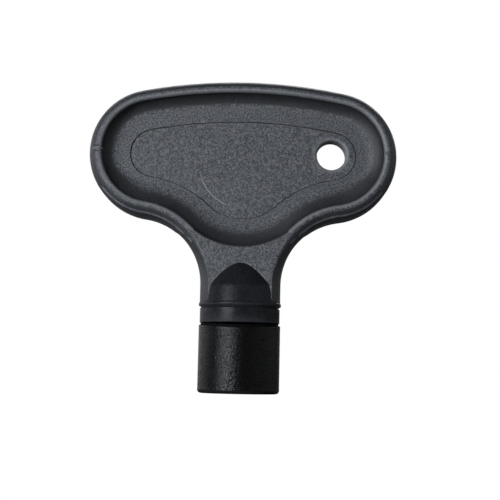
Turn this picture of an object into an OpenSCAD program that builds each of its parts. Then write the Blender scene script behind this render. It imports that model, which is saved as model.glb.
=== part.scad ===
// Radiator bleed key: a moulded tee handle over a steel insert with a square socket.
// The key stands on its socket mouth: X runs across the bow, Y through its thickness
// and Z up the shank. The key ring hole is in the lobe at +X.

/* [Bow] */
// Width of the bow over its two lobes
bow_w = 42.5; // [38:0.5:50]
// Radius of each lobe of the bow
lobe_r = 9; // [8:0.25:10]
// Height of the lobe centres above the socket mouth
lobe_z = 32.8; // [31:0.1:40]
// Radius of the shallow arc along the top of the bow
crown_r = 70; // [60:1:110]
// Radius of the hollow between each lobe and the neck
flank_r = 9.2; // [7.5:0.1:10]
// Thickness of the bow over its rim
bow_t = 7; // [6.4:0.2:9]
// Width of the rounding round the bow's outer edge
edge_w = 1.5; // [1:0.1:1.6]
// Height of the flat band left along the middle of that edge
edge_flat = 2.4; // [0.4:0.1:3]

/* [Dish] */
// Width of the rim round the dish
rim_w = 1.9; // [1.9:0.1:3]
// Depth of the dish below the rim
dish_deep = 2.2; // [1.6:0.1:2.6]
// Radius of the foot of the dish, above the neck
dish_foot_r = 10.5; // [8.5:0.25:12]
// Width of the hollow slope under the rim
cove_w = 2.5; // [2:0.1:3]
// Width of the flat margin between that slope and the step of the floor
margin_w = 1.2; // [0.3:0.1:1.5]
// Bevel that breaks the inner edge of the rim
rim_break = 0.25; // [0.1:0.05:0.4]
// Depth of the step round the mould insert that forms the flat floor
pad_step = 0.08; // [0.04:0.02:0.2]

/* [Key ring hole] */
// Diameter of the key ring hole
ring_d = 4; // [3:0.1:4.6]
// Height of the key ring hole above the lobe's centre
ring_rise = 0.2; // [0:0.1:0.4]
// Bevel round both ends of the key ring hole
ring_bevel = 0.4; // [0.1:0.05:0.6]

/* [Neck] */
// Width of the flat-sided neck under the bow
neck_w = 10.8; // [10.2:0.1:10.8]
// Diameter of the round neck below it
neck_d = 11.1; // [11.1:0.05:11.8]
// How far the ridge round the neck stands out
ridge_out = 0.1; // [0.05:0.05:0.4]
// Height of the ridge
ridge_h = 0.5; // [0.3:0.05:0.8]
// Diameter of the ferrule below the ridge
ferrule_d = 10.95; // [10.4:0.05:11.05]
// Height of the ferrule
ferrule_h = 2.3; // [2:0.1:3.2]
// Height of the round neck between the ridge and its cone
barrel_h = 1.9; // [1:0.1:2.2]
// Angle of the cone that runs from the round neck into the bow
cone_angle = 31; // [28:0.5:36]
// Depth under the bow's face at which the cone ends
cone_under = 0.5; // [0.3:0.1:1]

/* [Socket insert] */
// Outer diameter of the steel collar
collar_d = 11.2; // [10.6:0.1:12.4]
// Height of the steel collar
collar_h = 9.3; // [8.8:0.1:10]
// Bevel round the mouth end of the collar
mouth_bevel = 0.45; // [0.2:0.05:0.7]
// Bevel round the top of the collar
collar_bevel = 0.5; // [0.1:0.05:0.7]
// Width across flats of the square spindle that the key turns
spindle_af = 5; // [4.4:0.1:5.4]
// Clearance between the spindle and the socket
socket_clearance = 0.15; // [0.05:0.05:0.3]
// Depth of the square socket
socket_deep = 8.5; // [7:0.25:9]
// Bevel that leads the spindle into the socket
lead_in = 0.5; // [0.2:0.05:0.6]

/* [Joint between steel and plastic] */
// Height of the open seam between the collar and the handle
seam_h = 0.2; // [0.1:0.05:0.6]
// Depth of that seam
seam_deep = 0.7; // [0.4:0.05:0.9]
// Width across flats of the hexagonal shank inside the handle
shank_af = 6.6; // [5.8:0.1:6.8]
// Length of the shank above its seat
shank_l = 6.2; // [5.2:0.1:7]
// Depth of the groove that locks the shank in the plastic
lock_deep = 0.6; // [0.3:0.05:0.8]
// Width of the locking groove
lock_w = 1.4; // [0.8:0.1:1.8]
// Clearance between the shank and the plastic round it
shank_gap = 0.02; // [0.01:0.01:0.05]

/* [Hidden] */
$fn = 96;
charcoal = [0.13, 0.14, 0.155];
blackened_steel = [0.05, 0.05, 0.055];
// Flats in the rounding of the rim and in the slope of the dish
round_steps = 6;
// Flats along the crown, a lobe, a flank and the foot, each on one side of the key
crown_steps = 3;
lobe_steps = 16;
flank_steps = 4;
foot_steps = 7;
// How far a cut runs past the surface that it opens
above = 1;

// The bow is drawn lying down: x across it, y up the key and z through its thickness.
half_t = bow_t / 2;
edge_h = half_t - edge_flat / 2;
floor_z = half_t - dish_deep;
cove_h = dish_deep - rim_break - pad_step;
pad_in = rim_w + cove_w + margin_w;
lobe_x = bow_w / 2 - lobe_r;
lobe_c = [lobe_x, lobe_z];
crown_c = [0, lobe_z - sqrt(pow(crown_r - lobe_r, 2) - pow(lobe_x, 2))];
crown_half = asin(lobe_x / (crown_r - lobe_r));
flank_x = neck_w / 2 + flank_r;
flank_c = [flank_x, lobe_z - sqrt(pow(lobe_r + flank_r, 2) - pow(flank_x - lobe_x, 2))];
foot_reach = dish_foot_r + rim_w + flank_r;
foot_c = [0, flank_c.y + sqrt(pow(foot_reach, 2) - pow(flank_x, 2))];
lobe_to_flank = heading(lobe_c, flank_c);
flank_to_lobe = lobe_to_flank + 180;
flank_to_foot = heading(flank_c, foot_c);
foot_to_flank = flank_to_foot - 180;

// Heights along the key.
seat_z = collar_h + seam_h;
ridge_z = seat_z + ferrule_h;
barrel_z = ridge_z + ridge_h;
cone_z = barrel_z + barrel_h;

// Direction from one centre to another, in degrees.
function heading(a, b) = atan2(b.y - a.y, b.x - a.x);

// Points along an arc.
function arc(c, r, from, to, steps) =
    [for (i = [0:steps]) c + r * [cos(from + (to - from) * i / steps), sin(from + (to - from) * i / steps)]];

// Right half of a ring round the bow, moved inwards, from the top to where the foot begins.
function half_ring(inwards) = concat(
    arc(crown_c, crown_r - inwards, 90, 90 - crown_half, crown_steps),
    tail(arc(lobe_c, lobe_r - inwards, 90 - crown_half, lobe_to_flank, lobe_steps)),
    tail(arc(flank_c, flank_r + inwards, flank_to_lobe, flank_to_foot, flank_steps))
);

// The rest of that half: round the foot of the dish, or down the neck and across its end.
function dish_foot(inwards) =
    tail(arc(foot_c, dish_foot_r + rim_w - inwards, foot_to_flank, -90, foot_steps));
function neck_side(inwards) = concat(
    tail(arc(flank_c, flank_r + inwards, flank_to_foot, 180, foot_steps - 2)),
    [[neck_w / 2 - inwards, cone_z], [0, cone_z]]
);

// A list without its first point, for an arc that goes on from the one before.
function tail(points) = [for (i = [1:len(points) - 1]) points[i]];

// A whole ring at one height: the right half, then the left one back to the top.
function ring(right, z) = concat(
    [for (p = right) [p.x, p.y, z]],
    [for (i = [len(right) - 2:-1:1]) [-right[i].x, right[i].y, z]]
);

// Rings of the bow's rounded edge, from its middle out to the rim, then of the dish, down to
// its floor. On the back face the heights are negative and the order is turned round.
function edge_rings(face) = [for (i = [0:round_steps]) let (
    a = 90 * i / round_steps,
    inwards = edge_w * (1 - cos(a))
) ring(concat(half_ring(inwards), neck_side(inwards)), face * (edge_flat / 2 + edge_h * sin(a)))];
function dish_rings(face) = [for (p = concat(
    [[rim_w - rim_break, half_t]],
    [for (i = [0:round_steps]) let (a = 90 * i / round_steps)
        [rim_w + cove_w * (1 - cos(a)), half_t - rim_break - cove_h * sin(a)]],
    [[pad_in, floor_z + pad_step], [pad_in, floor_z]]
)) ring(concat(half_ring(p.x), dish_foot(p.x)), face * p.y)];
function turned_round(list) = [for (i = [len(list) - 1:-1:0]) list[i]];

// The bow and the flat neck under it: one closed skin of rings, with a dish on both faces.
module bow_plate() {
    front = concat(edge_rings(1), dish_rings(1));
    back = concat(edge_rings(-1), dish_rings(-1));
    rings = concat(turned_round(back), front);
    n = len(rings[0]);
    last = len(rings) - 1;
    points = concat([for (r = rings) each r], [[0, lobe_z, -floor_z], [0, lobe_z, floor_z]]);
    back_middle = len(points) - 2;
    front_middle = len(points) - 1;
    walls = [for (k = [0:last - 1], i = [0:n - 1]) let (j = (i + 1) % n)
        each [[k * n + i, k * n + j, (k + 1) * n + i], [k * n + j, (k + 1) * n + j, (k + 1) * n + i]]];
    floors = [for (i = [0:n - 1]) let (j = (i + 1) % n)
        each [[back_middle, j, i], [front_middle, last * n + i, last * n + j]]];
    polyhedron(points, concat(walls, floors), convexity = 6);
}

// The key ring hole through the right lobe, bevelled at both ends.
module ring_hole() {
    translate([lobe_c.x, lobe_c.y + ring_rise, 0]) {
        cylinder(d = ring_d, h = bow_t, center = true);
        for (face = [0, 1])
            mirror([0, 0, face])
                translate([0, 0, floor_z - ring_bevel])
                    cylinder(d1 = ring_d, d2 = ring_d + 2 * (ring_bevel + above), h = ring_bevel + above);
    }
}

// The round neck: ferrule, ridge, plain barrel and the cone that dies into the bow's faces.
module round_neck() {
    neck_r = neck_d / 2;
    ridge_r = neck_r + ridge_out;
    tip_r = half_t - cone_under;
    tip_z = cone_z + (neck_r - tip_r) / tan(cone_angle);
    rotate_extrude()
        polygon([
            [0, seat_z],
            [ferrule_d / 2, seat_z],
            [ferrule_d / 2, ridge_z],
            [ridge_r, ridge_z],
            [ridge_r, barrel_z - ridge_out],
            [neck_r, barrel_z],
            [neck_r, cone_z],
            [tip_r, tip_z],
            [0, tip_z]
        ]);
}

// The hexagonal shank with its locking groove. The handle is moulded round it, and its
// hollow is the same shape, larger by the gap.
module shank(gap = 0) {
    hex_d = (shank_af + 2 * gap) / cos(30);
    lock_z = seat_z + shank_l / 2;
    difference() {
        translate([0, 0, seat_z - gap])
            cylinder(d = hex_d, h = shank_l + 2 * gap, $fn = 6);
        translate([0, 0, lock_z - lock_w / 2 + gap])
            difference() {
                cylinder(d = hex_d + 2 * above, h = lock_w - 2 * gap);
                cylinder(d = shank_af + 2 * gap - 2 * lock_deep, h = lock_w - 2 * gap);
            }
    }
}

// The moulded handle.
module handle() {
    color(charcoal)
        difference() {
            union() {
                rotate([90, 0, 0])
                    bow_plate();
                round_neck();
            }
            rotate([90, 0, 0])
                ring_hole();
            shank(shank_gap);
        }
}

// The steel insert: collar, square socket, seat for the handle, and the shank above it.
module socket_insert() {
    collar_r = collar_d / 2;
    seat_r = ferrule_d / 2 - seam_deep;
    socket_af = spindle_af + socket_clearance;
    mouth_r = socket_af / sqrt(2) + lead_in / 2;
    color(blackened_steel)
        difference() {
            union() {
                rotate_extrude()
                    polygon([
                        [0, 0],
                        [collar_r - mouth_bevel, 0],
                        [collar_r, mouth_bevel],
                        [collar_r, collar_h - collar_bevel],
                        [collar_r - collar_bevel, collar_h],
                        [seat_r, collar_h],
                        [seat_r, seat_z],
                        [0, seat_z]
                    ]);
                shank();
            }
            translate([-socket_af / 2, -socket_af / 2, -above])
                cube([socket_af, socket_af, socket_deep + above]);
            translate([0, 0, -above])
                cylinder(r1 = mouth_r + above, r2 = mouth_r - lead_in, h = lead_in + above);
        }
}

handle();
socket_insert();
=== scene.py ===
# %% [markdown]
# # A radiator bleed key
#
# The object is a small key that opens the air vent of a radiator. It has two pieces: a moulded
# handle of charcoal plastic, dished on both faces like the bow of a door key, and a blackened
# steel insert whose square socket fits over the vent's spindle.
#
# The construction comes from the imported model, which is loaded here as a fixed frame. In that
# frame the key stands on its socket mouth: X runs across the bow, Y through its thickness with
# the front face towards -Y, and Z up the shank. Blender counts in metres. Sizes are chosen as
# plain numbers of millimetres, and `mm` turns them into metres where a shape is made.

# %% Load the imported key
import math

import bmesh
import bpy
from mathutils import Matrix, Vector
from mathutils.kdtree import KDTree


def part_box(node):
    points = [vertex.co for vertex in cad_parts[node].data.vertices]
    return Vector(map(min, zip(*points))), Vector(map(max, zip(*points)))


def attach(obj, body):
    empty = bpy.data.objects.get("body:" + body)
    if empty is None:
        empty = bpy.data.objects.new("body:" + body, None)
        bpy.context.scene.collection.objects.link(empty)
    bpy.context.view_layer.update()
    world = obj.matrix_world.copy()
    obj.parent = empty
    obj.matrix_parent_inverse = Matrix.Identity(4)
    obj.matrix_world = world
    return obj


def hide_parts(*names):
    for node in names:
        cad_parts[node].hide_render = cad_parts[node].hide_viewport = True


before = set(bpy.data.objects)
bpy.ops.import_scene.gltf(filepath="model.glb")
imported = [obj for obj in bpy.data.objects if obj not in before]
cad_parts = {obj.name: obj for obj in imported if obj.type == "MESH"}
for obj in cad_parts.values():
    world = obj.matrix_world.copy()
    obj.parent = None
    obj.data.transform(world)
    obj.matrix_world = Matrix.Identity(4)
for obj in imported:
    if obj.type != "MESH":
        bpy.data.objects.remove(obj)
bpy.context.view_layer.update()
mm = 0.001

handle_low, handle_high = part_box("handle")
insert_low, insert_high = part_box("socket_insert")
print("handle, mm:", [round(x / mm, 2) for x in handle_high - handle_low])
print("insert, mm:", [round(x / mm, 2) for x in insert_high - insert_low])

# %% [markdown]
# ## Camera
#
# The photograph is square and was taken from close by and low down, about at the height of the
# key's mouth, so the arch and the ridge seem to bend upwards, and more of the underside of the
# bow shows than of its top. The distance is a choice: fits of the outline at 130 to 200 mm are
# about equally good, and 150 mm is used here. A camera could be parented to an empty and aimed
# with a constraint, but other views move it, so its place is simply worked out once from two
# angles and a distance. The lens follows from how many pixels of the 500 pixel wide image one
# radian covers.

# %% Place the camera
IMAGE_WIDTH = 500
SENSOR = 36
azimuth = math.radians(0.25)
elevation = math.radians(-6.49)
roll = math.radians(1.19)
distance = 150 * mm
pixels_per_radian = 1084.2
aim = Vector((1.23 * mm, 0, 19.72 * mm))

forward = Vector((
    -math.sin(azimuth) * math.cos(elevation),
    math.cos(azimuth) * math.cos(elevation),
    -math.sin(elevation),
))
camera_data = bpy.data.cameras.new("photo_camera")
camera_data.sensor_width = SENSOR
camera_data.lens = pixels_per_radian * SENSOR / IMAGE_WIDTH
camera_data.clip_start = 10 * mm
camera_data.clip_end = 20
camera = bpy.data.objects.new("photo_camera", camera_data)
facing = forward.to_track_quat("-Z", "Y").to_matrix() @ Matrix.Rotation(roll, 3, "Z")
camera.matrix_world = Matrix.Translation(aim - distance * forward) @ facing.to_4x4()
bpy.context.scene.collection.objects.link(camera)
bpy.context.scene.camera = camera
print("camera height, mm:", round(camera.matrix_world.translation.z / mm, 1))

# %% [markdown]
# ## Modelling helpers
#
# An operator acts on whatever is selected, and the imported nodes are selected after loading. So
# each new piece starts by deselecting everything. A section is drawn as by hand: a tiny plane
# is merged into one vertex, and that vertex is extruded from point to point. The section is
# then spun round the centre of each arc that the outline is made of. With no window open, spin
# turns anticlockwise seen from the front for a positive angle about +Y.

# %% Draw, pick and sweep
ACROSS_FACE = (0, 1, 0)
UP_SHANK = (0, 0, 1)
NEAR = 0.002 * mm


def at(place, size):
    """True where a coordinate in metres is at a size in mm."""
    return abs(place - size * mm) < NEAR


def take(piece):
    """Selects one piece alone and makes it the active one."""
    bpy.ops.object.select_all(action="DESELECT")
    piece.select_set(True)
    bpy.context.view_layer.objects.active = piece


def settle(name):
    """Names the piece just added, and applies its place, turn and size to its mesh."""
    bpy.ops.object.transform_apply(location=True, rotation=True, scale=True)
    piece = bpy.context.object
    piece.name = piece.data.name = name
    return piece


def draw_chain(name, points):
    """A new piece that is one chain of edges through the points."""
    bpy.ops.object.select_all(action="DESELECT")
    bpy.ops.mesh.primitive_plane_add(size=mm, location=points[0])
    piece = settle(name)
    bpy.ops.object.mode_set(mode="EDIT")
    bpy.ops.mesh.select_all(action="SELECT")
    bpy.ops.mesh.merge(type="CENTER")
    for here, there in zip(points, points[1:]):
        step = Vector(there) - Vector(here)
        bpy.ops.mesh.extrude_region_move(TRANSFORM_OT_translate={"value": step})
    bpy.ops.mesh.select_all(action="SELECT")
    return piece


def pick(piece, test):
    """In edit mode, selects the vertices whose place passes the test."""
    net = bmesh.from_edit_mesh(piece.data)
    chosen = [v for v in net.verts if test(v.co)]
    bpy.ops.mesh.select_all(action="DESELECT")
    for v in chosen:
        v.select = True
    net.select_flush(True)
    bmesh.update_edit_mesh(piece.data)


def pick_open_edges(piece, test):
    """In edit mode, selects the edges with a face on one side only whose ends pass the test."""
    net = bmesh.from_edit_mesh(piece.data)
    bpy.ops.mesh.select_all(action="DESELECT")
    for e in net.edges:
        if len(e.link_faces) < 2 and all(test(v.co) for v in e.verts):
            e.select = True
    bmesh.update_edit_mesh(piece.data)


def cut_across(piece, test, place, direction):
    """In edit mode, cuts the faces whose middle passes the test along one plane."""
    net = bmesh.from_edit_mesh(piece.data)
    bpy.ops.mesh.select_all(action="DESELECT")
    for f in net.faces:
        f.select = test(f.calc_center_median())
    bmesh.update_edit_mesh(piece.data)
    bpy.ops.mesh.bisect(plane_co=place, plane_no=direction)


def sweep(centre, start, end, steps, axis=ACROSS_FACE):
    """Spins what is selected round a centre, from one heading to another, in degrees."""
    bpy.ops.mesh.spin(steps=steps, angle=math.radians(end - start), center=centre, axis=axis)


def apply_modifier(piece, kind, **settings):
    """Adds a modifier, sets it and applies it."""
    take(piece)
    modifier = piece.modifiers.new(kind.lower(), kind)
    for setting, value in settings.items():
        setattr(modifier, setting, value)
    bpy.ops.object.modifier_apply(modifier=modifier.name)


def close_up(piece):
    """Merges doubles and turns the faces outwards, then leaves edit mode."""
    bpy.ops.mesh.select_all(action="SELECT")
    bpy.ops.mesh.remove_doubles(threshold=NEAR)
    bpy.ops.mesh.normals_make_consistent(inside=False)
    bpy.ops.object.mode_set(mode="OBJECT")
    print(piece.name, "faces:", len(piece.data.polygons))


def turned(name, profile, steps):
    """A turned piece: its (radius, height) profile in mm, spun once round the shank."""
    piece = draw_chain(name, [(r * mm, 0, z * mm) for r, z in profile])
    sweep((0, 0, 0), 0, 360, steps, UP_SHANK)
    close_up(piece)
    return piece


def combine(piece, tool, how):
    """Cuts or joins a tool into a piece, and throws the tool away."""
    apply_modifier(
        piece, "BOOLEAN", object=tool, operation=how, solver="EXACT", material_mode="TRANSFER"
    )
    bpy.data.objects.remove(tool)
    print(piece.name, how.lower(), "faces:", len(piece.data.polygons))


def arc_points(centre, reach, first, last, steps):
    """Points on part of a circle or ellipse in mm, from one angle to another in degrees."""
    angles = [math.radians(first + (last - first) * i / steps) for i in range(steps + 1)]
    (x, y), (across, up) = centre, reach
    return [(x + across * math.cos(a), y + up * math.sin(a)) for a in angles]


# %% [markdown]
# ## Outline of the bow
#
# Seen from the front the bow is a chain of arcs that run into each other: a very shallow crown
# on top, a round lobe at each side, and a hollow flank that brings it down to the neck. Each
# arc starts where the one before ends, so only the radii and two heights are chosen and the
# centres follow. Angles are headings seen from the front: 0 to the right and 90 up.

# %% Work out the arcs
lobe_r, crown_r, flank_r = 9.0, 70.0, 9.2
lobe_z = 32.8
neck_w = 11.1
rim_w = 1.9
foot_r = 10.5

bow_half = handle_high.x / mm
lobe_x = bow_half - lobe_r
crown_z = lobe_z - math.sqrt((crown_r - lobe_r) ** 2 - lobe_x**2)
crown_half = math.degrees(math.asin(lobe_x / (crown_r - lobe_r)))
flank_x = neck_w / 2 + flank_r
flank_z = lobe_z - math.sqrt((lobe_r + flank_r) ** 2 - (flank_x - lobe_x) ** 2)
foot_z = flank_z + math.sqrt((foot_r + rim_w + flank_r) ** 2 - flank_x**2)
lobe_to_flank = math.degrees(math.atan2(flank_z - lobe_z, flank_x - lobe_x))
flank_to_foot = math.degrees(math.atan2(foot_z - flank_z, -flank_x))


def spot(x, z):
    """A point in the middle plane of the bow, from millimetres."""
    return Vector((x * mm, 0, z * mm))


print("top of the bow, mm:", round(crown_z + crown_r, 2), "packed:", round(handle_high.z / mm, 2))

# %% [markdown]
# ## Section of the rim
#
# Cut across, half of the rim is: a flat parting band round the outside, a rounding that climbs
# to the crest, a tight round over the crest, a hollow slope down into the dish, a flat margin,
# and a hair line where the insert of the mould forms the floor. The slope is steep under the
# crest and runs out flat, which is why the real dish is darkest just inside its rim. All this
# could be bevelled onto a flat plate, but a section swept round the arcs keeps the same shape
# all the way and gives long even faces that shade smoothly. In the code the slope is the cove,
# and the floor inside the hair line is the pad.

# %% Draw the section
half_t = 3.5
edge_w, edge_flat = 1.4, 2.4
crest_r = 0.45
cove_w, foot_cove_w, crown_cove_w = 2.5, 3.6, 2.1
floor_h, pad_step, pad_in = 1.3, 0.08, 5.6
line_w, line_deep = 0.14, 0.14
EDGE_STEPS, CREST_STEPS, COVE_STEPS = 12, 6, 24

crest_in = rim_w - crest_r
crest_h = half_t - crest_r
cove_h = half_t - crest_r - floor_h - pad_step
cove_end = rim_w + foot_cove_w


def rim_section():
    """(distance inwards from the outline, height above the middle plane), in mm."""
    band = [(0, 0), (0, edge_flat / 4)]
    edge_reach = (edge_w, half_t - edge_flat / 2)
    edge = arc_points((edge_w, edge_flat / 2), edge_reach, 180, 90, EDGE_STEPS)
    crest = arc_points((crest_in, crest_h), (crest_r, crest_r), 90, 0, CREST_STEPS)
    slope = arc_points((cove_end, crest_h), (foot_cove_w, cove_h), 180, 270, COVE_STEPS)
    # Three tenths of the hair line's width is wall on each side, and the rest is its bottom.
    hair_line = [
        (pad_in, floor_h + pad_step),
        (pad_in + line_w * 0.3, floor_h - line_deep),
        (pad_in + line_w * 0.7, floor_h - line_deep),
        (pad_in + line_w, floor_h),
    ]
    return band + edge + crest + slope[1:] + hair_line


section = rim_section()
print("points in the section:", len(section))

# %% [markdown]
# ## Sweep the bow
#
# The section starts upright at the middle of the crown and is spun round the crown's centre,
# then the lobe's and then the flank's. Above the neck it splits: the outer part goes on round
# the flank and straight down the neck, and the inner part turns back round the foot of the
# dish. That is one quarter of the bow. A mirror makes the other side, the flat face of the
# neck and the floor of the dish are filled in, and a second mirror makes the back face. Last,
# the sides of the neck are turned down, as on a lathe: at each height no point stays further
# from the middle than the outline there, so the flat neck ends as round as the piece below.

# %% Sweep one quarter
CROWN_STEPS, LOBE_STEPS, FLANK_STEPS, NECK_STEPS, FOOT_STEPS = 16, 72, 16, 20, 24
SLACK = 0.01
plate_end = 12.3
crown_top = crown_z + crown_r

handle = draw_chain("moulded_handle", [(0, -h * mm, (crown_top - t) * mm) for t, h in section])
sweep(spot(0, crown_z), 90, 90 - crown_half, CROWN_STEPS)
sweep(spot(lobe_x, lobe_z), 90 - crown_half, lobe_to_flank, LOBE_STEPS)
sweep(spot(flank_x, flank_z), lobe_to_flank + 180, flank_to_foot, FLANK_STEPS)


def inwards_of_flank(place):
    """How far a point lies inside the outline along the flank, in mm."""
    return math.hypot(place.x / mm - flank_x, place.z / mm - flank_z) - flank_r


def past_flank(place):
    """True on the section where the foot of the dish leaves the flank."""
    heading = math.degrees(math.atan2(place.z / mm - flank_z, place.x / mm - flank_x))
    return abs(heading - flank_to_foot) < SLACK


pick(handle, lambda p: past_flank(p) and inwards_of_flank(p) < edge_w + SLACK)
sweep(spot(flank_x, flank_z), flank_to_foot, 180, NECK_STEPS)
bpy.ops.mesh.extrude_region_move(
    TRANSFORM_OT_translate={"value": (0, 0, (plate_end - flank_z) * mm)}
)
pick(handle, lambda p: past_flank(p) and inwards_of_flank(p) > crest_in - SLACK)
sweep(spot(0, foot_z), flank_to_foot - 180, -90, FOOT_STEPS)
close_up(handle)

# %% Mirror it and fill the flat faces
MIRROR = {"use_mirror_merge": True, "merge_threshold": NEAR}
apply_modifier(handle, "MIRROR", use_axis=(True, False, False), **MIRROR)

bpy.ops.object.mode_set(mode="EDIT")
pick(handle, lambda p: at(p.y, -half_t) and at(p.z, plate_end))
bpy.ops.mesh.edge_face_add()
pick_open_edges(handle, lambda p: at(p.y, -half_t))
bpy.ops.mesh.edge_face_add()
pick_open_edges(handle, lambda p: at(p.y, -floor_h))
bpy.ops.mesh.edge_face_add()
bpy.ops.object.mode_set(mode="OBJECT")

apply_modifier(handle, "MIRROR", use_axis=(False, True, False), **MIRROR)
bpy.ops.object.mode_set(mode="EDIT")
pick_open_edges(handle, lambda p: at(p.z, plate_end))
bpy.ops.mesh.edge_face_add()
close_up(handle)

# %% [markdown]
# ## A slope that is wider at the foot
#
# The section was drawn with the wide slope of the foot, which reaches almost to the hair line.
# Under the crown and at the lobes the real slope is shorter and leaves a flat margin. So each
# point of the slope is set to a new height: its distance from the outline follows from its
# old height, and the width of the slope at that place follows from how high up it lies. At
# the foot the slope is also straighter, halfway between an ellipse and a parabola. The foot and
# the crown each have a zone of heights in which the width changes softly.

# %% Fit the slope to its place
def slope_height(inwards, width, straight):
    """Height of the slope at a distance inwards from the outline, in mm."""
    share = min(1, max(0, (rim_w + width - inwards) / width))
    hollow = 1 - math.sqrt(1 - share**2)
    return floor_h + pad_step + cove_h * (hollow + straight * (share**2 - hollow))


def between(value, low, high):
    """0 below the low limit, 1 above the high one, and soft in between."""
    share = min(1, max(0, (value - low) / (high - low)))
    return share * share * (3 - 2 * share)


FOOT_ZONE, CROWN_ZONE = (27.5, 31.5), (35, 39)
FOOT_STRAIGHT = 0.5
DISH_ABOVE = 20
TINY = 0.0001

fitted = 0
for v in handle.data.vertices:
    _, y, z = v.co / mm
    drop = crest_h - abs(y)
    if TINY < drop < cove_h - TINY and z > DISH_ABOVE:
        inwards = cove_end - foot_cove_w * math.sqrt(1 - (drop / cove_h) ** 2)
        low_down = 1 - between(z, *FOOT_ZONE)
        high_up = between(z, *CROWN_ZONE)
        width = cove_w + (foot_cove_w - cove_w) * low_down + (crown_cove_w - cove_w) * high_up
        v.co.y = math.copysign(slope_height(inwards, width, FOOT_STRAIGHT * low_down), y) * mm
        fitted += 1
print("points of the slope fitted:", fitted)

# %% Turn the sides of the neck round
NECK_BELOW = 22
turn_in = 0.02

trimmed = 0
for v in handle.data.vertices:
    x, y, z = v.co / mm
    up = max(0, z - flank_z)
    if z < NECK_BELOW:
        half_w = flank_x - math.sqrt(flank_r**2 - up**2) - turn_in
        if math.hypot(x, y) > half_w > abs(y):
            v.co.x = math.copysign(math.sqrt(half_w**2 - y**2), x) * mm
            trimmed += 1
print("vertices turned down:", trimmed)

# %% [markdown]
# ## Round neck
#
# Below the bow the plastic is round: a cone that dies into the flat faces and leaves the arch
# seen from the front, a barrel that still narrows a little upwards, a thin ridge with a nick
# under it, and a ferrule that ends just above the steel. The profile starts at the ferrule, and
# NICK is written as (below the ridge, depth). The barrel's slope makes it as dark as the cone,
# so no line shows between them. The neck is turned from one profile and joined with a
# boolean, because the arch is simply where it meets the flat face. The mould was polished here
# and spark-eroded everywhere else, so the neck has a material of its own, which the boolean
# carries over to its faces.

# %% Turn the neck
neck_r, ferrule_r = 5.55, 5.475
ridge_out, ridge_h = 0.1, 0.5
seat_z = handle_low.z / mm
ridge_z = seat_z + 2.3
cone_angle, barrel_angle = 31, 6
barrel_top = 14.3
bend_r = 1.2
tip_r = 3.0
soft = 0.12
NICK = ((0.35, 0), (0.2, 0.12), (0, 0.08))
NECK_AROUND = 160


def neck_profile():
    """(radius, height) of the round neck in mm, from the ferrule's end to the cone's tip."""
    end = arc_points((ferrule_r - soft, seat_z + soft), (soft, soft), 270, 360, 3)
    nick = [(ferrule_r - deep, ridge_z - below) for below, deep in NICK]
    ridge = arc_points((neck_r, ridge_z + ridge_h / 2), (ridge_out, ridge_h / 2), 270, 450, 8)
    top_r = neck_r - (barrel_top - ridge_z - ridge_h) * math.tan(math.radians(barrel_angle))
    across = top_r - bend_r * math.cos(math.radians(barrel_angle))
    along = barrel_top - bend_r * math.sin(math.radians(barrel_angle))
    bend = arc_points((across, along), (bend_r, bend_r), barrel_angle, cone_angle, 8)
    tip_z = bend[-1][1] + (bend[-1][0] - tip_r) / math.tan(math.radians(cone_angle))
    return [(0, seat_z)] + end + nick + ridge[1:] + bend + [(tip_r, tip_z), (0, tip_z)]


eroded_plastic = bpy.data.materials.new("eroded_plastic")
polished_plastic = bpy.data.materials.new("polished_plastic")
handle.data.materials.append(eroded_plastic)
neck = turned("round_neck", neck_profile(), NECK_AROUND)
neck.data.materials.append(polished_plastic)
combine(handle, neck, "UNION")
print("finishes on the handle:", [m.name for m in handle.data.materials])

# %% [markdown]
# ## Key ring hole
#
# A 4 mm hole goes through the right lobe, with softly rounded edges on both floors. The cutter is
# turned like the neck, with that rounding in its profile, and laid on its side. The wide floor
# faces are first cut along four lines round the hole, so that the paler edge that is stored on
# the rounding, wear and in part a painted highlight, later fades out close by and not across the
# whole floor.

# %% Cut the key ring hole
ring_r, ring_soft, ring_rise = 2.0, 0.4, 0.2
ring_patch = 0.5
ring_place = spot(lobe_x, lobe_z + ring_rise)


def hole_profile():
    """(radius, height) of the cutter in mm; its height runs through the key's thickness."""
    wide_r = ring_r + ring_soft
    rounding = arc_points((wide_r, floor_h - ring_soft), (-ring_soft, ring_soft), 0, 90, 5)
    upper = rounding + [(wide_r, half_t), (0, half_t)]
    lower = [(r, -z) for r, z in reversed(upper)]
    return lower + upper


take(handle)
bpy.ops.object.mode_set(mode="EDIT")
for side in (-1, 1):
    for direction in (Vector((side, 0, 0)), Vector((0, 0, side))):
        line = ring_place + direction * (ring_r + ring_soft + ring_patch) * mm
        cut_across(handle, lambda c: at(abs(c.y), floor_h), line, direction)
bpy.ops.object.mode_set(mode="OBJECT")

cutter = turned("hole_cutter", hole_profile(), 96)
cutter.data.transform(Matrix.Translation(ring_place) @ Matrix.Rotation(math.radians(90), 4, "X"))
combine(handle, cutter, "DIFFERENCE")

# %% [markdown]
# ## Marks of the mould on the rim
#
# On the left of the rim, at the height of the lobes, the real key has a small raised bead with a
# nick above and below it, and on the right only a faint dent: the places where the plastic ran
# together. Each is a stretched sphere that is joined to the rim or cut out of it. A row of
# MARKS holds its name, how it is combined, its place and half its size each way.

# %% Add the bead, the nicks and the dent
def pebble(name, place, size):
    """A stretched sphere at a place, with half its size each way, both in mm."""
    bpy.ops.object.select_all(action="DESELECT")
    bpy.ops.mesh.primitive_uv_sphere_add(
        segments=32, ring_count=16, radius=1,
        location=[x * mm for x in place], scale=[x * mm for x in size],
    )
    piece = settle(name)
    piece.data.materials.append(eroded_plastic)
    return piece


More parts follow.
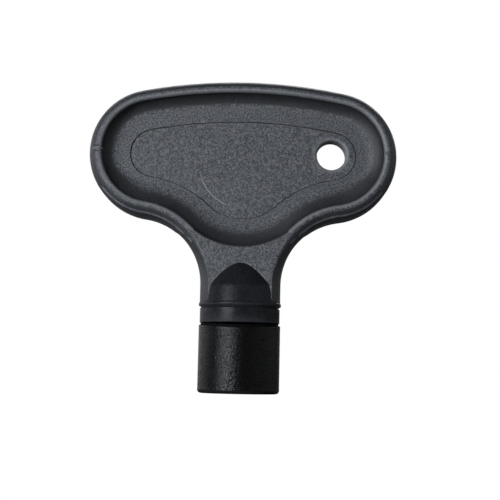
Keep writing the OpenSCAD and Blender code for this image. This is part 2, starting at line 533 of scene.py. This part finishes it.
weld_z, nick_away = 32.95, 0.36
MARKS = (
    ("nick_above", "DIFFERENCE", (-19.8, 3.42, weld_z + nick_away), (0.8, 0.17, 0.08)),
    ("nick_below", "DIFFERENCE", (-19.8, 3.42, weld_z - nick_away), (0.8, 0.17, 0.08)),
    ("bead", "UNION", (-19.85, 3.25, weld_z), (0.75, 0.4, 0.2)),
    ("dent", "DIFFERENCE", (19.7, 3.5, 33.0), (0.5, 0.12, 0.25)),
)
for side in (-1, 1):
    for name, how, (x, y, z), size in MARKS:
        combine(handle, pebble(name, (x, side * y, z), size), how)

# %% [markdown]
# ## Steel insert
#
# The steel runs up inside the plastic as a six-sided shank with a groove that locks it. Below is
# the collar, with a square socket broached into it and a countersink that leads the spindle in.
# The collar's top edge dips a little at the front and the back, and a seat that is narrower than
# the ferrule leaves a thin seam below the plastic. What lies inside the collar's wall up there,
# the seat and the rounded shoulder, gets a second material that is painted shade: matt and almost
# black, so that the seam and the shoulder stay dark. The wall is drawn with many short steps,
# because blackened steel isn't smooth: a displacement with a cloudy pattern dents it by a few
# hundredths of a millimetre, always inwards, so that the collar keeps its packed size.

# %% Make the shank, and its hollow in the handle
shank_af, shank_l, shank_gap = 6.6, 6.2, 0.02
lock_w, lock_deep = 1.4, 0.6
past_corner_r = 6


def shank(name, gap):
    """The six-sided shank, larger by a gap on every side."""
    corner_r = (shank_af / 2 + gap) / math.cos(math.radians(30)) * mm
    bpy.ops.object.select_all(action="DESELECT")
    middle = (seat_z + shank_l / 2) * mm
    bpy.ops.mesh.primitive_cylinder_add(
        vertices=6, radius=corner_r, depth=(shank_l + 2 * gap) * mm, location=(0, 0, middle),
        rotation=(0, 0, math.radians(30)),
    )
    bar = settle(name)
    lock_r = shank_af / 2 + gap - lock_deep
    half_w = lock_w / 2 - gap
    low, high = seat_z + shank_l / 2 - half_w, seat_z + shank_l / 2 + half_w
    ring = [(lock_r, low), (past_corner_r, low), (past_corner_r, high), (lock_r, high)]
    combine(bar, turned(name + "_groove", ring + ring[:1], 64), "DIFFERENCE")
    return bar


combine(handle, shank("shank_hollow", shank_gap), "DIFFERENCE")

# %% Turn the collar and cut its socket
collar_r = insert_high.x / mm
collar_h = 9.3
mouth_soft, shoulder_soft = 0.5, 0.25
mouth_flat_r = 3.5
front_dip, dip_reach = 0.45, 1
seat_r = ferrule_r - 0.15
seam_above, wall_skin = 8, 0.04
socket_af, socket_deep = 5.15, 8.5
lead_in = 0.5
past_mouth = 0.5
WALL_STEPS, COLLAR_AROUND = 76, 288


def collar_profile():
    """(radius, height) of the collar in mm, from its mouth to the seat of the handle."""
    mouth = arc_points((collar_r - mouth_soft, mouth_soft), (mouth_soft, mouth_soft), 270, 360, 6)
    low, high = mouth_soft, collar_h - shoulder_soft
    wall = [(collar_r, low + (high - low) * i / WALL_STEPS) for i in range(1, WALL_STEPS)]
    shoulder_reach = (shoulder_soft, shoulder_soft)
    shoulder = arc_points((collar_r - shoulder_soft, high), shoulder_reach, 0, 90, 4)
    seat = [(seat_r, collar_h), (seat_r, seat_z), (0, seat_z)]
    return [(0, 0), (mouth_flat_r, 0)] + mouth + wall + shoulder + seat


insert = turned("steel_insert", collar_profile(), COLLAR_AROUND)
for v in insert.data.vertices:
    share = max(0, 1 - abs(v.co.z / mm - collar_h) / dip_reach)
    v.co.z -= front_dip * share * mm * (v.co.y / (collar_r * mm)) ** 2

black_steel = bpy.data.materials.new("black_steel")
seam_painted_shade = bpy.data.materials.new("seam_painted_shade")
insert.data.materials.append(black_steel)
insert.data.materials.append(seam_painted_shade)
# Faces inside the collar's wall above seam_above take the second material, the painted shade of
# the seam and the shoulder.
for f in insert.data.polygons:
    middle = f.center / mm
    if middle.z > seam_above and math.hypot(middle.x, middle.y) < collar_r - wall_skin:
        f.material_index = 1

bpy.ops.object.select_all(action="DESELECT")
bpy.ops.mesh.primitive_cube_add(
    size=1, location=(0, 0, (socket_deep / 2 - past_mouth) * mm),
    scale=(socket_af * mm, socket_af * mm, (socket_deep + 2 * past_mouth) * mm),
)
combine(insert, settle("socket_cutter"), "DIFFERENCE")
mouth_r = socket_af / math.sqrt(2) + lead_in / 2
lead = [(0, -1), (mouth_r + 1, -1), (mouth_r - lead_in, lead_in), (0, lead_in)]
combine(insert, turned("lead_cutter", lead, 96), "DIFFERENCE")
combine(insert, shank("steel_shank", 0), "UNION")

# %% Dent the wall of the collar
DENT_SIZE, DENT_DEEP = 0.22, 0.035
WALL_FADE = 0.3

wall = insert.vertex_groups.new(name="wall")
for v in insert.data.vertices:
    from_end = min(v.co.z / mm - mouth_soft, collar_h - shoulder_soft - v.co.z / mm)
    if at(math.hypot(v.co.x, v.co.y), collar_r) and from_end > 0:
        wall.add([v.index], min(1, from_end / WALL_FADE), "REPLACE")
dents = bpy.data.textures.new("scale_dents", "CLOUDS")
dents.noise_scale = DENT_SIZE * mm
dents.noise_depth = 2
apply_modifier(
    insert, "DISPLACE", texture=dents, vertex_group="wall", strength=DENT_DEEP * mm, mid_level=1.0
)
middle_radii = [
    math.hypot(v.co.x, v.co.y) / mm for v in insert.data.vertices if 2 * mm < v.co.z < 7 * mm
]
print("deepest dent, mm:", round(collar_r - min(r for r in middle_radii if r > 5), 3))

# %% [markdown]
# ## Shading of the edges, and where they are made paler
#
# Faces that meet at less than 24 degrees shade as one round surface. The cone and the flat
# face meet at 31, so the arch stays crisp. Weighted normals keep the big flat faces flat.
#
# A key lives in a pocket, so its outer edges are polished a little. Each vertex stores how near
# it is to a tight outward rounding, and the materials turn that number into a broken mask that
# makes the edges paler: partly that wear, and partly a painted highlight along the crest of the
# rim. The handle stores a second number, which tells the outside of the rim from the dish: it is
# 1 from the outline up to the crest and 0 further in, and the plastic uses it for painted light
# on the outside of the rim. A bevel node could find edges while rendering, but a stored number
# goes with the mesh wherever the part is used.

# %% Smooth the faces and store the paler edges and the outside
TIGHT, SHARP = math.radians(13), math.radians(24)
FERRULE_BELOW, BARREL_BELOW, BOW_ABOVE = 12, 14, 24
HOLE_REACH = 3
FACE_FROM = 2.4
CREST_ZONE = (crest_in - 0.2, rim_w)


def at_hole(place):
    """True close to the key ring hole."""
    return (place - ring_place).length < HOLE_REACH * mm


def exposed(place):
    """False on the sides of the bow and of the neck, where no edge is made paler by wear or
    painted highlight.
    """
    x, y, z = place / mm
    on_bow = z > BOW_ABOVE or abs(x) > neck_w / 2 + 1
    return z < FERRULE_BELOW or on_bow and (abs(y) > FACE_FROM or at_hole(place))


def mark_rubbed_and_highlit(piece, reach):
    """Stores a number that is 1 on tight outward roundings and falls to 0 over the reach."""
    net = bmesh.new()
    net.from_mesh(piece.data)
    tight = [
        v.co.copy() for v in net.verts
        if exposed(v.co)
        and any(TIGHT < e.calc_face_angle_signed(0) < SHARP for e in v.link_edges)
    ]
    net.free()
    tree = KDTree(len(tight))
    for i, place in enumerate(tight):
        tree.insert(place, i)
    tree.balance()
    layer = piece.data.attributes.new("rubbed_and_highlit", "FLOAT", "POINT")
    near = [max(0, 1 - tree.find(v.co)[2] / reach) for v in piece.data.vertices]
    layer.data.foreach_set("value", near)
    print(piece.name, "vertices on tight roundings:", len(tight))


def mark_outside(piece):
    """Stores a number that is 1 outside the crest of the rim and 0 inside it."""
    half_flat = edge_flat / 2 * mm + NEAR
    outline = [
        v.co for v in piece.data.vertices
        if abs(v.co.y) < half_flat and v.co.z > BARREL_BELOW * mm and not at_hole(v.co)
    ]
    tree = KDTree(len(outline))
    for i, place in enumerate(outline):
        tree.insert((place.x, 0, place.z), i)
    tree.balance()
    layer = piece.data.attributes.new("outside", "FLOAT", "POINT")
    away = [tree.find((v.co.x, 0, v.co.z))[2] / mm for v in piece.data.vertices]
    layer.data.foreach_set("value", [1 - between(d, *CREST_ZONE) for d in away])


mark_outside(handle)
for piece, slot, node, reach in (
    (handle, "handle_plastic", "handle", 0.45 * mm),
    (insert, "blackened_steel", "socket_insert", 0.3 * mm),
):
    mark_rubbed_and_highlit(piece, reach)
    take(piece)
    bpy.ops.object.shade_smooth_by_angle(angle=SHARP)
    apply_modifier(piece, "WEIGHTED_NORMAL", keep_sharp=True, weight=80)
    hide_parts(node)
    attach(piece, "root")

# %% [markdown]
# ## Patterns that the finishes share
#
# Plastic from a spark-eroded mould and blackened steel look alike up close: a fine grain of tiny
# pits, cloudy patches of tone, rubbed edges and a few thin scuffs. On the plastic's crest the
# paler rubbed edge is also a painted highlight. Each of these is a node group that is built once
# and put into every material with its own values. A group only gives out numbers. The shader that
# uses them stays in the material. A scuff is a thin line along which a slowly changing noise is
# at its middle value, kept only in some patches.

# %% Node helpers
def feed(net, socket, value):
    """Sets a socket to a value, or links it to the output of another node."""
    if isinstance(value, bpy.types.NodeSocket):
        net.links.new(value, socket)
    else:
        socket.default_value = value


def feed_all(net, node, sockets):
    """Feeds the named sockets of a node; the names have _ for a space."""
    for name, value in sockets.items():
        feed(net, node.inputs[name.replace("_", " ")], value)


def put(net, kind, **sockets):
    """Adds a node and feeds its sockets."""
    node = net.nodes.new(kind)
    feed_all(net, node, sockets)
    return node


def maths(net, operation, a, b=0.0):
    """One sum, product or other operation on two numbers."""
    node = net.nodes.new("ShaderNodeMath")
    node.operation = operation
    feed(net, node.inputs[0], a)
    feed(net, node.inputs[1], b)
    return node.outputs[0]


def product(net, first, *others):
    """Numbers multiplied with one another."""
    for other in others:
        first = maths(net, "MULTIPLY", first, other)
    return first


def stretch(net, value, low, high, to_low=0.0, to_high=1.0):
    """Spreads a range of numbers over another, with soft ends."""
    node = put(
        net, "ShaderNodeMapRange",
        Value=value, From_Min=low, From_Max=high, To_Min=to_low, To_Max=to_high,
    )
    node.interpolation_type = "SMOOTHSTEP"
    return node.outputs["Result"]


def mixed(net, factor, a, b):
    """A colour between two others; the colours are sockets 6 and 7 of the node."""
    node = net.nodes.new("ShaderNodeMix")
    node.data_type = "RGBA"
    for place, value in ((0, factor), (6, a), (7, b)):
        feed(net, node.inputs[place], value)
    return node.outputs[2]


def parts_of(net, vector):
    """The X, Y and Z of a vector, as outputs."""
    return put(net, "ShaderNodeSeparateXYZ", Vector=vector).outputs


def new_pattern(name, inputs, outputs):
    """An empty node group; its first input is always the place on the piece."""
    net = bpy.data.node_groups.new(name, "ShaderNodeTree")
    net.interface.new_socket("Vector", in_out="INPUT", socket_type="NodeSocketVector")
    for label, value in inputs:
        socket = net.interface.new_socket(label, in_out="INPUT", socket_type="NodeSocketFloat")
        socket.default_value = value
    for label in outputs:
        net.interface.new_socket(label, in_out="OUTPUT", socket_type="NodeSocketFloat")
    return net, net.nodes.new("NodeGroupInput").outputs, net.nodes.new("NodeGroupOutput").inputs


def per_metre(net, given, factor):
    """How often the group's size in mm fits into a metre, times a factor."""
    scale = maths(net, "DIVIDE", 1 / mm, given["Size mm"])
    return scale if factor == 1 else maths(net, "MULTIPLY", scale, factor)


def noise(net, given, factor=1, **settings):
    """A noise on the group's place, of the group's size, or finer by the factor."""
    scale = per_metre(net, given, factor)
    node = put(net, "ShaderNodeTexNoise", Vector=given["Vector"], Scale=scale, **settings)
    return node.outputs["Fac"]


def place_pattern(net, pattern, **sockets):
    """Puts a node group into a material."""
    node = net.nodes.new("ShaderNodeGroup")
    node.node_tree = pattern
    feed_all(net, node, sockets)
    return node.outputs


# %% Grain of tiny pits
pitted_grain, given, gives = new_pattern("pitted_grain", [("Size mm", 0.2)], ["Height", "Specks"])
pits = noise(pitted_grain, given, Detail=2.5, Roughness=0.62)
finer = per_metre(pitted_grain, given, 1.7)
grains = put(pitted_grain, "ShaderNodeTexVoronoi", Vector=given["Vector"], Scale=finer)
from_pits = maths(pitted_grain, "MULTIPLY", pits, 0.7)
from_grains = maths(pitted_grain, "MULTIPLY", grains.outputs["Distance"], 0.3)
pitted_grain.links.new(maths(pitted_grain, "ADD", from_pits, from_grains), gives["Height"])
pitted_grain.links.new(stretch(pitted_grain, pits, 0.38, 0.68), gives["Specks"])
print("pitted_grain nodes:", len(pitted_grain.nodes))

# %% Cloudy tone
cloudy_tone, given, gives = new_pattern("cloudy_tone", [("Size mm", 3.0)], ["Tone"])
clouds = noise(cloudy_tone, given, Detail=3.0, Roughness=0.55)
cloudy_tone.links.new(stretch(cloudy_tone, clouds, 0.3, 0.7), gives["Tone"])

# %% Rubbed edges, partly a painted highlight
rubbed_and_highlit_edge, given, gives = new_pattern(
    "rubbed_and_highlit_edge", [("Near edge", 0.0), ("Size mm", 0.6), ("Amount", 0.5)], ["Mask"]
)
ragged = noise(rubbed_and_highlit_edge, given, Detail=4.0, Roughness=0.65)
around_0 = maths(rubbed_and_highlit_edge, "SUBTRACT", ragged, 0.5)
broken = maths(rubbed_and_highlit_edge, "ADD", given["Near edge"], around_0)
worn_off = stretch(rubbed_and_highlit_edge, broken, 0.35, 1.1)
# Where nothing is near an edge, the noise alone must not show.
at_edge = stretch(rubbed_and_highlit_edge, given["Near edge"], 0.0, 0.3)
rubbed_and_highlit_edge.links.new(product(rubbed_and_highlit_edge, worn_off, given["Amount"], at_edge), gives["Mask"])

# %% Thin scuffs
thin_scuffs, given, gives = new_pattern(
    "thin_scuffs", [("Size mm", 2.0), ("Amount", 0.5)], ["Mask"]
)
drift = noise(thin_scuffs, given, Detail=0.6)
from_middle = maths(thin_scuffs, "ABSOLUTE", maths(thin_scuffs, "SUBTRACT", drift, 0.5))
thin = stretch(thin_scuffs, from_middle, 0.0, 0.007, 1.0, 0.0)
patches = noise(thin_scuffs, given, 0.8, Detail=2.0)
some = stretch(thin_scuffs, patches, 0.58, 0.7)
thin_scuffs.links.new(product(thin_scuffs, thin, some, given["Amount"]), gives["Mask"])

# %% [markdown]
# ## The four finishes
#
# The handle is charcoal plastic. Where the mould was eroded by sparks it is matt. Its flat faces
# and, less, the outside of the rim are painted paler, as painted light, and the slopes of the
# dish keep the dark colour, as painted shade. Two masks bring in that paler colour: one from how
# squarely a face looks to the front or back, and one from the number stored outside the crest.
# The round neck is smoother and darker. The steel is black from its bath, with a finely pebbled
# skin that breaks its sheen into specks. The fourth finish is painted shade: matt black on the
# seam and the collar's shoulder, so that they stay dark.

# %% Build the finishes
CLOUD_MM = 4.0
# FACING_FLAT and the outside share set where the handle's painted light falls: the flat faces and
# the outside of the rim.
FACING_FLAT = (0.88, 0.997)
PAINTED_LIGHT_OUTSIDE = 0.22
SPECKS_ON_SLOPES = 0.12
GRAIN_IN_GLOSS, CLOUDS_IN_GLOSS, RUB_IN_GLOSS = 0.16, 0.05, 0.14
SCRATCH_CENTRE, SCRATCH_R = (-0.07 * mm, 0, 31.33 * mm), 5.89 * mm


def stored_number(net, name):
    """A number stored on the piece's vertices."""
    node = net.nodes.new("ShaderNodeAttribute")
    node.attribute_name = name
    return node.outputs["Fac"]


def long_scratch(net, place):
    """A mask of the one long scratch in the dish, an arc to the lower left of the middle."""
    spot_at = parts_of(net, place)
    flat = put(net, "ShaderNodeCombineXYZ", X=spot_at["X"], Z=spot_at["Z"])
    away = net.nodes.new("ShaderNodeVectorMath")
    away.operation = "DISTANCE"
    net.links.new(flat.outputs[0], away.inputs[0])
    away.inputs[1].default_value = SCRATCH_CENTRE
    from_arc = maths(net, "SUBTRACT", away.outputs["Value"], SCRATCH_R)
    return product(
        net,
        stretch(net, maths(net, "ABSOLUTE", from_arc), 0.02 * mm, 0.1 * mm, 1.0, 0.0),
        stretch(net, spot_at["X"], -2.6 * mm, -1.2 * mm, 1.0, 0.0),
        stretch(net, spot_at["Z"], 28.4 * mm, 30.8 * mm, 1.0, 0.0),
        stretch(net, spot_at["Y"], -1 * mm, 0.0, 1.0, 0.0),
    )


def finish(
    material, colour, cloud, worn, rubbed_and_highlit, roughness, grain_mm, grain_depth,
    specks, rub, scuffs, sheen, painted_light_colour=None,
):
    """Fills a material: a dark colour with clouds and wear, a paler colour as painted light where
    one is given, and grain in its gloss and relief.
    """
    material.use_nodes = True
    net = material.node_tree
    shader = net.nodes["Principled BSDF"]
    coordinates = net.nodes.new("ShaderNodeTexCoord").outputs
    place = coordinates["Object"]
    near_edge = stored_number(net, "rubbed_and_highlit")
    grain = place_pattern(net, pitted_grain, Vector=place, Size_mm=grain_mm)
    tone = place_pattern(net, cloudy_tone, Vector=place, Size_mm=CLOUD_MM)["Tone"]
    edge = place_pattern(net, rubbed_and_highlit_edge, Vector=place, Near_edge=near_edge, Amount=rub)["Mask"]
    scuff = place_pattern(net, thin_scuffs, Vector=place, Amount=scuffs)["Mask"]

    base = mixed(net, tone, (*colour, 1), (*cloud, 1))
    speckled = maths(net, "MULTIPLY", grain["Specks"], specks)
    if painted_light_colour:
        # Painted light: faces that look squarely to the front or back and the outside of the rim
        # take a paler colour, and the slopes of the dish keep the dark colour as painted shade.
        facing = maths(net, "ABSOLUTE", parts_of(net, coordinates["Normal"])["Y"])
        outside = maths(net, "MULTIPLY", stored_number(net, "outside"), PAINTED_LIGHT_OUTSIDE)
        painted_light_mask = maths(net, "MAXIMUM", stretch(net, facing, *FACING_FLAT), outside)
        base = mixed(net, painted_light_mask, base, (*painted_light_colour, 1))
        speckles_left = stretch(net, painted_light_mask, 0.0, 1.0, SPECKS_ON_SLOPES, 1.0)
        speckled = maths(net, "MULTIPLY", speckled, speckles_left)
        scuff = maths(net, "MAXIMUM", scuff, long_scratch(net, place))
    base = mixed(net, speckled, base, (*worn, 1))
    # Rubbed edges and scuffs take the paler colour; along the plastic's crest this is partly a
    # painted highlight.
    base = mixed(net, maths(net, "MAXIMUM", edge, scuff), base, (*rubbed_and_highlit, 1))
    net.links.new(base, shader.inputs["Base Color"])

    # The grain moves the roughness both ways, clouds add to it, and rubbed edges are smoother.
    by_grain = maths(net, "MULTIPLY", grain["Height"], GRAIN_IN_GLOSS)
    gloss = maths(net, "ADD", by_grain, roughness - GRAIN_IN_GLOSS / 2)
    gloss = maths(net, "ADD", gloss, maths(net, "MULTIPLY", tone, CLOUDS_IN_GLOSS))
    gloss = maths(net, "SUBTRACT", gloss, maths(net, "MULTIPLY", edge, RUB_IN_GLOSS))
    net.links.new(gloss, shader.inputs["Roughness"])

    relief = put(
        net, "ShaderNodeBump", Height=grain["Height"], Strength=1.0, Distance=grain_depth * mm
    )
    net.links.new(relief.outputs["Normal"], shader.inputs["Normal"])
    shader.inputs["Specular IOR Level"].default_value = sheen
    print(material.name, "nodes:", len(net.nodes))


# The eroded plastic's paler colour is painted light on its flat faces and the outside of the rim.
finish(
    eroded_plastic, colour=(0.004, 0.0048, 0.006), cloud=(0.008, 0.009, 0.0105),
    worn=(0.155, 0.16, 0.17), rubbed_and_highlit=(0.17, 0.175, 0.185), painted_light_colour=(0.013, 0.015, 0.018),
    roughness=0.58, grain_mm=0.2, grain_depth=0.06, specks=0.62, rub=0.6, scuffs=0.6, sheen=0.52,
)
finish(
    polished_plastic, colour=(0.006, 0.0068, 0.0085), cloud=(0.010, 0.011, 0.013),
    worn=(0.05, 0.05, 0.055), rubbed_and_highlit=(0.05, 0.052, 0.056),
    roughness=0.33, grain_mm=0.28, grain_depth=0.03, specks=0.14, rub=0.4, scuffs=0.3, sheen=0.07,
)
finish(
    black_steel, colour=(0.001, 0.001, 0.0011), cloud=(0.002, 0.002, 0.002),
    worn=(0.03, 0.03, 0.03), rubbed_and_highlit=(0.03, 0.03, 0.03),
    roughness=0.26, grain_mm=0.28, grain_depth=0.08, specks=0.08, rub=0.3, scuffs=0.0, sheen=0.11,
)
# Painted shade for the seam and the collar's shoulder: near-black and matt, so that they stay
# dark.
finish(
    seam_painted_shade, colour=(0.001, 0.001, 0.001), cloud=(0.002, 0.002, 0.002),
    worn=(0.02, 0.02, 0.02), rubbed_and_highlit=(0.02, 0.02, 0.02),
    roughness=0.85, grain_mm=0.3, grain_depth=0.02, specks=0.1, rub=0.0, scuffs=0.0, sheen=0.05,
)

# %% [markdown]
# ## Floor, backdrop and light
#
# The key stands on a pale floor in a plain studio. One small soft lamp to the left of the
# camera gives the sheen on the flats and the streak down the collar. It is low and wide, so
# that faces that tilt up or down stay dark. Two broad weak lamps at the sides light the
# outsides of the rim and the edges of the round neck, a weak fill at the right front lights
# the left slope of the dish, and a lamp high behind shows the back when the key is turned. The
# background is white through Light Path only: camera rays see white, and reflections see some
# of it where they look behind the key on the left and above. The front half of the room stays
# dim. The floor is lit paper with a glow laid over it for the camera, so it comes out white
# and still keeps the shadow.

# %% Floor
FLOOR_SIZE = 4
PAPER = (0.15, 0.15, 0.15, 1)
GLOW, GLOW_SHARE = 1.19, 0.84
FLOOR_IN_GLOSS = 0.08

bpy.ops.object.select_all(action="DESELECT")
bpy.ops.mesh.primitive_plane_add(size=FLOOR_SIZE)
floor = bpy.context.object
floor.name = "studio_floor"
pale_floor = bpy.data.materials.new("pale_floor")
pale_floor.use_nodes = True
floor.data.materials.append(pale_floor)
net = pale_floor.node_tree
net.nodes.remove(net.nodes["Principled BSDF"])
paper = put(net, "ShaderNodeBsdfDiffuse", Color=PAPER)
glow = put(net, "ShaderNodeEmission", Strength=GLOW)
rays = net.nodes.new("ShaderNodeLightPath").outputs
on_floor = parts_of(net, net.nodes.new("ShaderNodeTexCoord").outputs["Object"])
behind = stretch(net, on_floor["Y"], 15 * mm, 50 * mm)
behind = product(net, behind, stretch(net, on_floor["X"], -20 * mm, 20 * mm, 1.0, 0.1))
in_gloss = product(net, rays["Is Glossy Ray"], maths(net, "MULTIPLY", behind, FLOOR_IN_GLOSS))
seen_white = maths(net, "MAXIMUM", rays["Is Camera Ray"], in_gloss)
blend = put(net, "ShaderNodeMixShader", Fac=maths(net, "MULTIPLY", seen_white, GLOW_SHARE))
net.links.new(paper.outputs[0], blend.inputs[1])
net.links.new(glow.outputs[0], blend.inputs[2])
net.links.new(blend.outputs[0], net.nodes["Material Output"].inputs["Surface"])

# %% World
ROOM_LIGHT = 0.03

world = bpy.data.worlds.new("studio")
bpy.context.scene.world = world
world.use_nodes = True
net = world.node_tree
rays = net.nodes.new("ShaderNodeLightPath").outputs
heading = parts_of(net, net.nodes.new("ShaderNodeTexCoord").outputs["Generated"])
behind = stretch(net, heading["Y"], 0.0, 0.6)
to_left = maths(net, "MULTIPLY", heading["X"], -0.8)
to_top = maths(net, "MULTIPLY", heading["Z"], 0.6)
brighter_side = stretch(net, maths(net, "ADD", to_left, to_top), -0.6, 0.5, 0.1, 1.0)
behind = maths(net, "MULTIPLY", behind, brighter_side)
mirrored = maths(net, "MAXIMUM", rays["Is Glossy Ray"], rays["Is Transmission Ray"])
reflected = maths(net, "MULTIPLY", mirrored, behind)
seen_white = maths(net, "MAXIMUM", rays["Is Camera Ray"], reflected)
background = net.nodes["Background"].inputs
net.links.new(stretch(net, seen_white, 0.0, 1.0, ROOM_LIGHT, 1.0), background["Strength"])
background["Color"].default_value = (1, 1, 1, 1)

# %% Lamps
COOL_WHITE = (0.94, 0.98, 1.04)


def lamp(name, azimuth_deg, elevation_deg, away, width, height, level):
    """A soft lamp that looks at the key; level 1 shows a colour about as it is written."""
    data = bpy.data.lights.new(name, "AREA")
    data.shape = "RECTANGLE"
    data.size, data.size_y = width, height
    data.color = COOL_WHITE
    data.energy = level * math.pi**2 * away**2
    a, e = math.radians(azimuth_deg), math.radians(elevation_deg)
    back = Vector((math.sin(a) * math.cos(e), -math.cos(a) * math.cos(e), math.sin(e)))
    light = bpy.data.objects.new(name, data)
    turn = (-back).to_track_quat("-Z", "Y").to_matrix().to_4x4()
    light.matrix_world = Matrix.Translation(aim + back * away) @ turn
    bpy.context.scene.collection.objects.link(light)


lamp("key_lamp", azimuth_deg=-36, elevation_deg=3, away=0.4, width=0.16, height=0.09, level=1.35)
lamp("left_lamp", azimuth_deg=-104, elevation_deg=4, away=0.6, width=0.5, height=0.4, level=0.24)
lamp("right_lamp", azimuth_deg=98, elevation_deg=6, away=0.6, width=0.5, height=0.8, level=0.28)
lamp("front_fill", azimuth_deg=54, elevation_deg=2, away=0.6, width=0.5, height=0.5, level=0.2)
lamp("back_lamp", azimuth_deg=172, elevation_deg=30, away=0.5, width=0.3, height=0.3, level=0.8)

# %% Settings
bpy.context.scene.view_settings.view_transform = "Standard"
